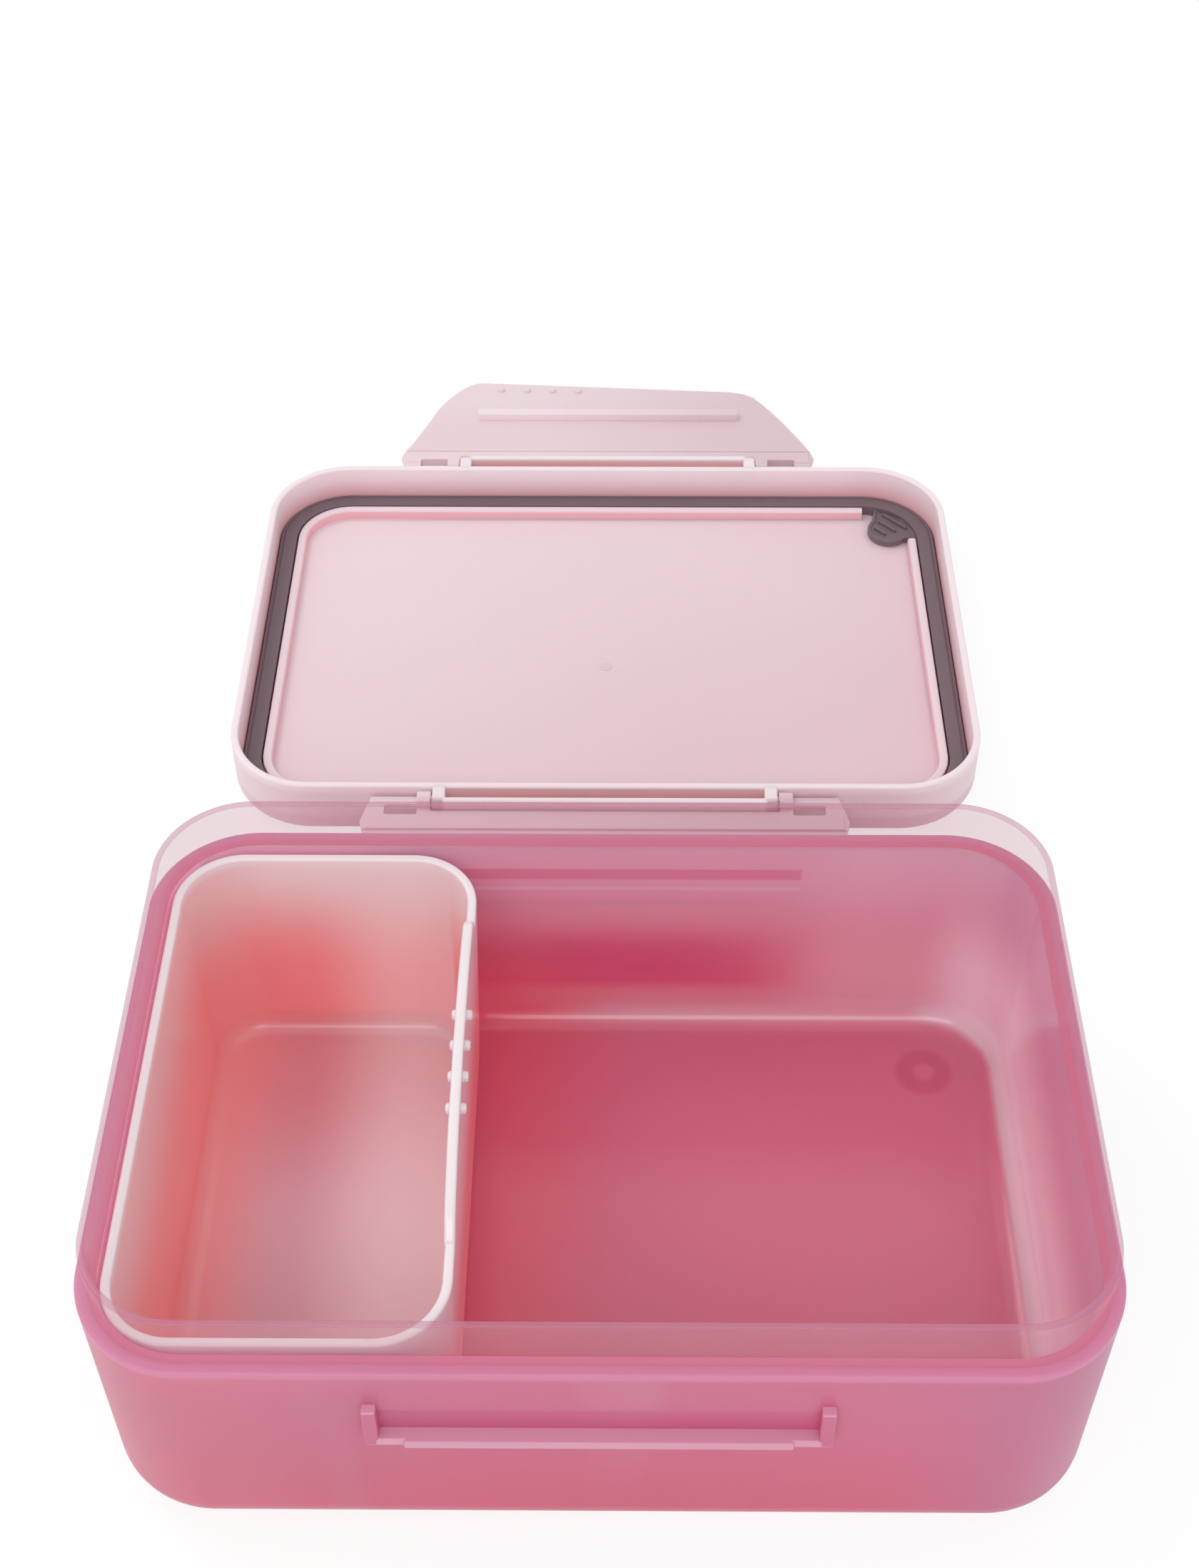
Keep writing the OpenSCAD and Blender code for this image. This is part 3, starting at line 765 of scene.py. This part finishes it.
def makeCup(cfg):
    cupCore = (cfg["width"] / 2 - cfg["corner"], cfg["depth"] / 2 - cfg["corner"])
    outer, inner = cfg["corner"], cfg["corner"] - cfg["wall"]
    bm = bmesh.new()
    section = [
        (cfg["middle"], 0), (outer - cfg["taper"], 0), (outer, cfg["height"]), (inner, cfg["height"]),
        (inner - cfg["taper"], cfg["floor"]), (cfg["middle"], cfg["floor"])]
    sweepRound(bm, section, cupCore, cfg["steps"])
    closeHoles(bm)
    roundRing(bm, cupCore, outer - cfg["taper"], 0, cfg["fillet"], cfg["filletSteps"])
    innerFillet = cfg["fillet"] - cfg["wall"]
    roundRing(bm, cupCore, inner - cfg["taper"], cfg["floor"], innerFillet, cfg["filletSteps"])
    roundRing(bm, cupCore, outer, cfg["height"], cfg["rimEdge"])
    roundRing(bm, cupCore, inner, cfg["height"], cfg["rimEdge"])
    place = (-cfg["sideX"] - cfg["width"] / 2, 0, boxSet["floor"])
    return makePiece("sideCup", bm, [cupMilk], place)


def gripTab(cfg):
    bm = bmesh.new()
    half, high, low, root = cfg["tabHalf"], cfg["tabHigh"], cfg["tabEnd"], -cfg["tabRoot"]
    outline = [
        (-half, root), (half, root), (half, 0), (half - 1.2, low - 0.6), (half * 0.5, high - 1), (0, high),
        (-half * 0.5, high - 1.2), (-half + 5, low - 1.4), (-half, 0)]
    bm.faces.new([bm.verts.new((-cfg["sideX"] - cfg["tabThick"], y, cupRim + z)) for y, z in outline])
    bends = [v for v in bm.verts if v.co.z > cupRim + cfg["tabBendsAt"]]
    softenAll(bm, bends, cfg["tabBends"], 6, "VERTICES")
    foot = [v for v in bm.verts if abs(v.co.z - cupRim) < 10 * hair]
    softenAll(bm, foot, cfg["tabFoot"], 6, "VERTICES")
    thicken(bm, (cfg["tabThick"], 0, 0))
    rims = [e for e in creases(bm, cfg["tabCrease"]) if abs(e.verts[0].co.x - e.verts[1].co.x) < hair]
    softenAll(bm, rims, cfg["tabEdge"], 4)
    return makePiece("gripTab", bm, [cupMilk])


def gripNubs(cfg):
    bm = bmesh.new()
    length = cfg["tabThick"] + 2 * cfg["nubOut"]
    y, z = cfg["nubAt"]
    for i in range(cfg["nubs"]):
        shift = (i - (cfg["nubs"] - 1) / 2) * cfg["nubPitch"]
        centre = (-cfg["sideX"] - cfg["tabThick"] / 2, y + shift, cupRim + z)
        addRod(bm, centre, cfg["nubRadius"], length, "X", cfg["nubSides"], cfg["nubEdge"])
    return makePiece("gripNubs", bm, [cupMilk])


cup = makeCup(cupSet)
blendIn(cup, gripTab(cupSet), "UNION")
blendIn(cup, gripNubs(cupSet), "UNION")
finishPiece(cup, "side_container", "container")


# the lid, upside down behind the box; the pivot is measured from the skirt and the rim

lidSet = {
    "wall": 1.9, "height": 16.5, "gap": 0.5, "well": 2.3, "wellSlope": 1.0, "border": 9.0, "panel": 2.0,
    "middle": 2.0, "edge": 4.0, "edgeSteps": 8, "rimEdge": 0.6, "crease": 0.25,
    "wellEdge": 0.5, "wellCrease": 0.4, "rosySlack": 0.3, "fenceRoot": 0.3,
    "channel": 5.2, "fence": 2.4, "fenceHigh": 3.1, "steps": 24,
    "bracketX": 42.5, "endBlock": 3.2, "bracketOut": 5.0, "bar": 1.7, "bracketHigh": 5.6, "bracketEdge": 0.5,
    "blockRoot": 1.0,
    "shadeSheet": 0.012, "shadeSheetRoot": 0.5, "shadeSheetIn": 0.9, "shadeSheetDown": 0.75, "shadeSheetUp": 0.2,
    "pivotOut": 2.6, "pivotDown": 2.0,
    "pin": 1.2, "pinLength": 3.3, "pinRoot": 0.6, "pinEdge": 0.2, "pinSides": 28,
    "mark": (0, -7.5, -0.1), "markRadius": 1.6, "markHigh": 0.5, "markEdge": 0.18, "markSides": 28,
}
# a clip is measured from its pivot: drop is how far its face lies below it, droop its slope in degrees,
# and room the space that the open near clip leaves to the box
clipSet = {
    "thick": 2.0, "halfWidth": 60.0, "long": 49.2, "short": 43.6, "drop": 0.7, "droop": 5.0, "room": 3.8,
    "foot": 1.9, "broad": 5.9, "cutout": 2.9, "bends": 2.6, "bendsAt": 7.0, "edge": 0.4,
    "ribAt": 26.6, "ribHigh": 2.2, "ribThick": 3.4, "ribHalf": 38.7, "ribRoot": 0.8, "ribEdge": 0.3,
    "ear": 3.4, "earRadius": 2.15, "earGap": 0.3, "earEdge": 0.25, "earSides": 32,
    "band": 8.6, "bandIn": 1.3, "bandFrom": 0.05, "bandHigh": 0.3, "bandSkin": 0.4, "bandEdge": 0.28,
    "window": (8.1, 0.8, 4.2), "windowCut": (-5, 3), "windowEdge": 0.5,
    "groove": (0.02, 0.72), "grooveDeep": 0.4, "grooveTop": 2.0, "grooveOver": 1.0, "grooveEdge": 0.15,
    "dimples": 4, "dimple": 1.0, "dimpleHigh": 1.6, "dimpleUp": 0.15, "dimpleEdge": 0.5, "dimpleSides": 24,
    "dimpleAt": (27.5, 4.9), "dimpleStep": (7.8, 0.25),
}
lidHalf = boxSet["depth"] / 2 + lidSet["gap"] + lidSet["wall"]
lidApart = lidSet["pivotOut"] + clipSet["long"] * math.cos(math.radians(clipSet["droop"])) + clipSet["room"]
lidY = wallY + lidApart + lidHalf
panelZ = lidSet["well"] + lidSet["panel"]
sealZ = panelZ + lidSet["fenceHigh"]
lidInner = boxSet["corner"] + lidSet["gap"]
fenceReach = lidInner - lidSet["channel"]
pivotY, pivotZ = lidHalf + lidSet["pivotOut"], lidSet["height"] - lidSet["pivotDown"]


def makeLid(cfg):
    outer = lidInner + cfg["wall"]
    wellIn = outer - cfg["border"]
    wellOut = wellIn + cfg["wellSlope"]
    bm = bmesh.new()
    section = [
        (cfg["middle"], cfg["well"]), (wellIn, cfg["well"]), (wellOut, 0), (outer, 0), (outer, cfg["height"]),
        (lidInner, cfg["height"]), (lidInner, panelZ), (cfg["middle"], panelZ)]
    sweepRound(bm, section, core, cfg["steps"])
    closeHoles(bm)
    roundRing(bm, core, outer, 0, cfg["edge"], cfg["edgeSteps"])
    roundRing(bm, core, outer, cfg["height"], cfg["rimEdge"])
    roundRing(bm, core, lidInner, cfg["height"], cfg["rimEdge"])
    roundRing(bm, core, lidInner, panelZ, cfg["crease"], 2)
    roundRing(bm, core, wellOut, 0, cfg["wellEdge"], 3)
    roundRing(bm, core, wellIn, cfg["well"], cfg["wellCrease"], 2)
    low, high = panelZ + cfg["rosySlack"], cfg["height"] - cfg["rosySlack"]
    # the inner walls get the rosy painted shade
    for face in bm.faces:
        mid = face.calc_center_median()
        if reachOf(mid, core) < lidInner + 2 * hair and low < mid.z < high:
            face.material_index = rosySkin
    return bm


def addFence(bm, cfg):
    # the fence runs round three corners and stops square at the pull tab's corner
    fence = bmesh.new()
    top, inside = sealZ, fenceReach - cfg["fence"]
    foot = panelZ - cfg["fenceRoot"]
    section = [
        (fenceReach, foot), (fenceReach, top - 0.6), (fenceReach - 0.2, top - 0.2), (fenceReach - 0.6, top),
        (inside + 0.8, top), (inside + 0.35, top - 0.12), (inside + 0.08, top - 0.5), (inside, top - 1.0),
        (inside - 0.04, panelZ + 0.5), (inside - 0.2, panelZ + 0.15), (inside - 0.5, panelZ + 0.02),
        (inside - 0.7, foot)]
    coreX, coreY = core
    last = drawSection(fence, [(coreX, coreY + reach, height) for reach, height in section])
    last = slideSection(fence, last, (coreX, coreY), (-coreX, coreY))
    stops = [(-coreX, coreY), (-coreX, -coreY), (coreX, -coreY), (coreX, coreY)]
    for here, after in zip(stops, stops[1:]):
        last = slideSection(fence, turnSection(fence, last, here, cfg["steps"] // 2), here, after)
    bmesh.ops.remove_doubles(fence, verts=fence.verts, dist=welding)
    closeHoles(fence)
    # the fence's sides get the rosy painted shade
    for face in fence.faces:
        if abs(face.normal.z) < 0.5:
            face.material_index = rosySkin
    joinMesh(bm, fence)


def addBrackets(bm, cfg):
    low, high, out = cfg["height"] - cfg["bracketHigh"], cfg["height"], cfg["bracketOut"]
    endX, gapX, barIn = cfg["bracketX"], cfg["bracketX"] - cfg["endBlock"], cfg["bracketOut"] - cfg["bar"]
    onSkirt = (-cfg["shadeSheetRoot"], cfg["shadeSheet"])
    onBar = (barIn - cfg["shadeSheet"], out - cfg["shadeSheetIn"])
    pinX, length = endX + (cfg["pinLength"] - cfg["pinRoot"]) / 2, cfg["pinLength"] + cfg["pinRoot"]

    def span(side, near, far, x0, x1, z0=low, z1=high, bevel=cfg["bracketEdge"]):
        addBlock(bm, (x0, side * (lidHalf + near), z0), (x1, side * (lidHalf + far), z1), bevel)

    for side in (-1, 1):
        span(side, barIn, out, -endX, endX)
        # thin sheets of painted rosy shade on the skirt and the bar, inside the gap between them
        plain = set(bm.faces)
        for near, far in (onSkirt, onBar):
            span(side, near, far, -gapX, gapX, low + cfg["shadeSheetUp"], high - cfg["shadeSheetDown"], 0)
        for face in set(bm.faces) - plain:
            face.material_index = gapShadeSkin
        for end in (-1, 1):
            span(side, -cfg["blockRoot"], out, end * gapX, end * endX)
            centre = (end * pinX, side * pivotY, pivotZ)
            addRod(bm, centre, cfg["pin"], length, "X", cfg["pinSides"], cfg["pinEdge"])


def addMark(bm, cfg):
    # plain moulding mark at the middle of the panel
    x, y, z = cfg["mark"]
    centre = (x, y, panelZ + z)
    addRod(bm, centre, cfg["markRadius"], cfg["markHigh"], "Z", cfg["markSides"], cfg["markEdge"])


lidMesh = makeLid(lidSet)
addFence(lidMesh, lidSet)
addBrackets(lidMesh, lidSet)
addMark(lidMesh, lidSet)
lid = makePiece("lidShell", lidMesh, lidSkins, (0, lidY, 0))
finishPiece(lid, "lid", "lid")


# the seal in its channel

sealSet = {
    "gap": 0.3, "edge": 0.35, "edgeMid": 0.1, "groove": 0.25, "grooveAt": (1.25, 1.12, 0.92, 0.8),
    "steps": 24,
    "tabRadius": 5.8, "tabThick": 1.6, "tabUp": 0.5, "tabAt": (7.0, 5.4), "tabIn": 0.5,
    "arc": (137, 318), "arcSteps": 16,  # from and to, in degrees
    "lip": 0.75, "slope": 0.35, "dish": 0.4, "lipEdge": 0.2, "lipCrease": 0.9,
    "ribs": 3, "rib": (2.2, 0.35, 1.15), "ribGrow": 1.1, "ribEdge": 0.3,
    "ribAt": (-2.4, -0.9, -0.6), "ribPitch": 2.2,
}


def makeSeal(cfg):
    bm = bmesh.new()
    x0, x1 = fenceReach + cfg["gap"], lidInner - cfg["gap"]
    top, dip, edge, mid = sealZ, sealZ - cfg["groove"], cfg["edge"], cfg["edgeMid"]
    grooveA, grooveB, grooveC, grooveD = cfg["grooveAt"]
    section = [
        (x0, panelZ), (x0, top - edge), (x0 + mid, top - mid), (x0 + edge, top),
        (x1 - grooveA, top), (x1 - grooveB, dip), (x1 - grooveC, dip), (x1 - grooveD, top),
        (x1 - edge, top), (x1 - mid, top - mid), (x1, top - edge), (x1, panelZ), (x0, panelZ)]
    sweepRound(bm, section, core, cfg["steps"])
    bmesh.ops.recalc_face_normals(bm, faces=bm.faces)
    return bm


def addPullTab(bm, cfg):
    tab = bmesh.new()
    cx, cy = core
    px, py = cx + cfg["tabAt"][0], cy + cfg["tabAt"][1]
    low, r = panelZ + cfg["tabUp"], cfg["tabRadius"]
    high = low + cfg["tabThick"]
    side, edge = cx + fenceReach + cfg["tabIn"], cy + fenceReach + cfg["tabIn"]
    outline = [
        (side, cy + 1.5), (side, cy + 4), (cx + fenceReach - 3.2, cy + 11),
        (px + 1.5, edge), (px - 3.4, edge)]
    start, end = (math.radians(angle) for angle in cfg["arc"])
    for i in range(cfg["arcSteps"] + 1):
        turn = start + (end - start) * i / cfg["arcSteps"]
        outline.append((px + r * math.cos(turn), py + r * math.sin(turn)))
    tab.faces.new([tab.verts.new((x, y, low)) for x, y in outline])
    bmesh.ops.recalc_face_normals(tab, faces=tab.faces)
    thicken(tab, (0, 0, cfg["tabThick"]))
    # a raised lip round a shallow dish
    top = [f for f in tab.faces if f.calc_center_median().z > high - hair]
    bmesh.ops.inset_region(tab, faces=top, thickness=cfg["lip"], depth=0, use_even_offset=True)
    bmesh.ops.inset_region(tab, faces=top, thickness=cfg["slope"], depth=-cfg["dish"], use_even_offset=True)
    rims = [e for e in creases(tab, cfg["lipCrease"]) if min(v.co.z for v in e.verts) > high - 5 * hair]
    softenAll(tab, rims, cfg["lipEdge"], 3)
    half, halfThick, ribHigh = cfg["rib"]
    x, y, z = cfg["ribAt"]
    for i in range(cfg["ribs"]):
        rib = bmesh.new()
        long, shift = half + i * cfg["ribGrow"], i * cfg["ribPitch"]
        addBlock(rib, (-long, -halfThick, 0), (long, halfThick, ribHigh), cfg["ribEdge"])
        turnAll(rib, -quarter / 2, "Z")
        bmesh.ops.translate(rib, verts=rib.verts, vec=(px + x + shift, py + y + shift, high + z))
        joinMesh(tab, rib)
    joinMesh(bm, tab)


sealMesh = makeSeal(sealSet)
addPullTab(sealMesh, sealSet)
seal = makePiece("sealRing", sealMesh, [sealGrey], (0, lidY, 0))
finishPiece(seal, "lid_seal", "seal")


# the two clips

# painted light and shade: a lighter tip, band and rib, and a deeper end
clipFinish = {
    "tip": (0.86, 0.71, 0.74), "middle": (0.84, 0.66, 0.70),
    "band": (0.86, 0.69, 0.73), "rib": (0.92, 0.77, 0.81),
    "shadeEnd": (0.70, 0.52, 0.57), "shadeShare": 0.8, "soft": 0.12, "reach": (0.003, 0.0012, 0.0014),
    "tipAt": (0.020, 0.043), "bandAt": (0.0080, 0.0092), "shadeAt": (-0.030, 0.055),
    "clouds": (12, 3), "cloudShare": 0.25,
}


def clipWithPaintedLight(name, tip, middle, band):
    # painted light and shade: the finger end lighter than the plate, a lighter band at the hinge, and painted
    # shade deepening towards one end
    s = Shade(name)
    place = s.place()
    cfg = clipFinish
    out = (s.axis(place, "Y") - lidY * mm).maths("ABSOLUTE") - pivotY * mm
    cloud = s.noise(place, *cfg["clouds"])
    tone = s.mixColour(s.between(*cfg["tipAt"], out), middle, tip)
    tone = s.mixColour(1 - s.between(*cfg["bandAt"], out), tone, band)
    tone = s.mixColour(s.between(*cfg["shadeAt"], s.axis(place, "X")) * cfg["shadeShare"], tone, cfg["shadeEnd"])
    base = s.mixColour(cloud * cfg["cloudShare"], tone, middle)
    return opaqueMoulded(s, place, base, cloud, moulded["rough"], cfg["soft"], cfg["reach"])


clipSkins = [
    clipWithPaintedLight("paleClip", clipFinish["tip"], clipFinish["middle"], clipFinish["band"]),
    clipWithPaintedLight("litRib", clipFinish["rib"], clipFinish["rib"], clipFinish["rib"]),
]


def clipPlate(cfg, earX, face):
    # one end runs out into a longer finger tongue, the other is cut shorter
    bm = bmesh.new()
    w, long, short, foot, broad = cfg["halfWidth"], cfg["long"], cfg["short"], -cfg["foot"], cfg["broad"]
    outline = [
        (-w + 2.2, foot), (-w - 0.1, broad), (-w + 0.4, 8.3), (-w + 2.9, 14.3), (-w + 6.4, 24.9),
        (-w + 9.2, long - 15), (-w + 12.3, long - 8.7), (-w + 15.5, long - 3.8), (-w + 19.8, long),
        (w - 22, short + 0.2), (w - 17.2, short - 1.6), (w - 14.5, short - 5), (w - 11, short - 11.2),
        (w - 7.1, short - 19.1), (w - 2.9, 15), (w - 0.4, 8.6), (w + 0.1, broad), (w - 2.2, foot),
        (earX, foot), (earX, cfg["cutout"]), (-earX, cfg["cutout"]), (-earX, foot)]
    bm.faces.new([bm.verts.new((x, y, face)) for x, y in outline])
    bends = [v for v in bm.verts if v.co.y > cfg["bendsAt"]]
    softenAll(bm, bends, cfg["bends"], 4, "VERTICES", True)
    thicken(bm, (0, 0, -cfg["thick"]))
    rims = [e for e in bm.edges if abs(e.verts[0].co.z - e.verts[1].co.z) < hair]
    softenAll(bm, rims, cfg["edge"], 3)
    return bm


def clipCutters(cfg, earX, face):
    # a window beside each ear, and the groove along the band
    bm = bmesh.new()
    start = earX + cfg["ear"]
    wide, near, far = cfg["window"]
    low, high = cfg["windowCut"]
    for end in (-1, 1):
        addBlock(bm, (end * start, near, low), (end * (start + wide), far, high), cfg["windowEdge"])
    half = cfg["halfWidth"] + cfg["grooveOver"]
    near, far = (cfg["band"] + side for side in cfg["groove"])
    low, high = face - cfg["grooveDeep"], face + cfg["grooveTop"]
    addBlock(bm, (-half, near, low), (half, far, high), cfg["grooveEdge"], 2)
    return bm


def clipBand(cfg, face):
    # a slightly raised band behind the ears
    bm = bmesh.new()
    half = cfg["halfWidth"] - cfg["bandIn"]
    low, high = face - cfg["thick"] + cfg["bandSkin"], face + cfg["bandHigh"]
    addBlock(bm, (-half, cfg["cutout"] + cfg["bandFrom"], low), (half, cfg["band"], high), cfg["bandEdge"])
    return bm


def addRib(bm, cfg, face):
    # the rib goes under the catch, and its faces get a lighter copy of the clip's colours as painted light
    plain = set(bm.faces)
    half, near = cfg["ribHalf"], cfg["ribAt"]
    low, high = face - cfg["ribRoot"], face + cfg["ribHigh"]
    addBlock(bm, (-half, near, low), (half, near + cfg["ribThick"], high), cfg["ribEdge"])
    for side in set(bm.faces) - plain:
        side.material_index = litRibSkin


def addDimples(bm, cfg, face):
    (fromSide, fromEnd), (stepX, stepY) = cfg["dimpleAt"], cfg["dimpleStep"]
    for i in range(cfg["dimples"]):
        x, y = fromSide - cfg["halfWidth"] + stepX * i, cfg["long"] - fromEnd - stepY * i
        centre = (x, y, face + cfg["dimpleUp"])
        addRod(bm, centre, cfg["dimple"], cfg["dimpleHigh"], "Z", cfg["dimpleSides"], cfg["dimpleEdge"])


def makeClip(name, cfg, turned):
    face = -cfg["drop"]
    earX = lidSet["bracketX"] + cfg["earGap"]
    bm = shapeBy(clipPlate(cfg, earX, face), clipBand(cfg, face), "UNION")
    bm = shapeBy(bm, clipCutters(cfg, earX, face), "DIFFERENCE")
    addRib(bm, cfg, face)
    addDimples(bm, cfg, face)
    for end in (-1, 1):
        centre = (end * (earX + cfg["ear"] / 2), 0, 0)
        addRod(bm, centre, cfg["earRadius"], cfg["ear"], "X", cfg["earSides"], cfg["earEdge"])
    turnAll(bm, -math.radians(cfg["droop"]), "X")
    bmesh.ops.translate(bm, verts=bm.verts, vec=(0, pivotY, pivotZ))
    if turned:
        turnAll(bm, math.pi, "Z")
    return makePiece(name, bm, clipSkins, (0, lidY, 0))


finishPiece(makeClip("frontLatch", clipSet, False), "front_clip", "front_clip")
finishPiece(makeClip("rearLatch", clipSet, True), "rear_clip", "rear_clip")


# floor and light, in metres

stageSet = {
    "floorSize": 6.0, "floorDown": 0.00005, "floorColour": (0.86, 0.86, 0.86),
    "whiteShare": 0.8, "whiteLevel": 1.06,
}
worldStrength = 0.74
lampSet = {
    "keyLamp": {"place": (-0.75, 0.55, 1.05), "size": (0.6, 0.6), "power": 2.6, "aim": (0, 0.08, 0.03)},
    "frontLamp": {"place": (-0.1, -0.85, 0.95), "size": (1.0, 0.35), "power": 3.6, "aim": (0, 0.06, 0.03)},
}


def seenDirectly(s):
    # 1 for what the camera, a reflection or clear plastic shows, 0 for the light on the object
    kinds = ("Is Camera Ray", "Is Glossy Ray", "Is Transmission Ray")
    seen, mirrored, through = (s.add("LightPath", {}, {}, kind) for kind in kinds)
    return (seen + mirrored + through).clamp()


def makeFloor(cfg):
    bm = bmesh.new()
    bmesh.ops.create_grid(bm, x_segments=1, y_segments=1, size=cfg["floorSize"] / 2 / mm)
    s = Shade("paleFloor")
    plain = s.add("BsdfDiffuse", {}, {"Color": cfg["floorColour"]})
    glow = s.add("Emission", {}, {"Color": (1, 1, 1), "Strength": cfg["whiteLevel"]})
    both = s.add("MixShader", {}, {0: seenDirectly(s) * cfg["whiteShare"], 1: plain, 2: glow})
    s.plug(s.output.inputs["Surface"], both)
    floor = makePiece("floor", bm, [s.material], (0, 0, -cfg["floorDown"] / mm))


def makeWorld(strength):
    world = bpy.data.worlds.new("studio")
    s = Shade("studio", world)
    level = seenDirectly(s) * (1 - strength) + strength
    s.plug(s.output.inputs["Surface"], s.add("Background", {}, {"Color": (1, 1, 1), "Strength": level}))
    bpy.context.scene.world = world


def makeLamp(name, cfg):
    data = bpy.data.lights.new(name, "AREA")
    data.shape = "RECTANGLE"
    data.size, data.size_y = cfg["size"]
    data.energy = cfg["power"]
    lamp = bpy.data.objects.new(name, data)
    bpy.context.scene.collection.objects.link(lamp)
    lamp.location = cfg["place"]
    lamp.rotation_euler = (Vector(cfg["aim"]) - Vector(cfg["place"])).to_track_quat("-Z", "Y").to_euler()


makeFloor(stageSet)
makeWorld(worldStrength)
for lampName, lampCfg in lampSet.items():
    makeLamp(lampName, lampCfg)
bpy.context.scene.view_settings.view_transform = "Standard"
print("stage set")
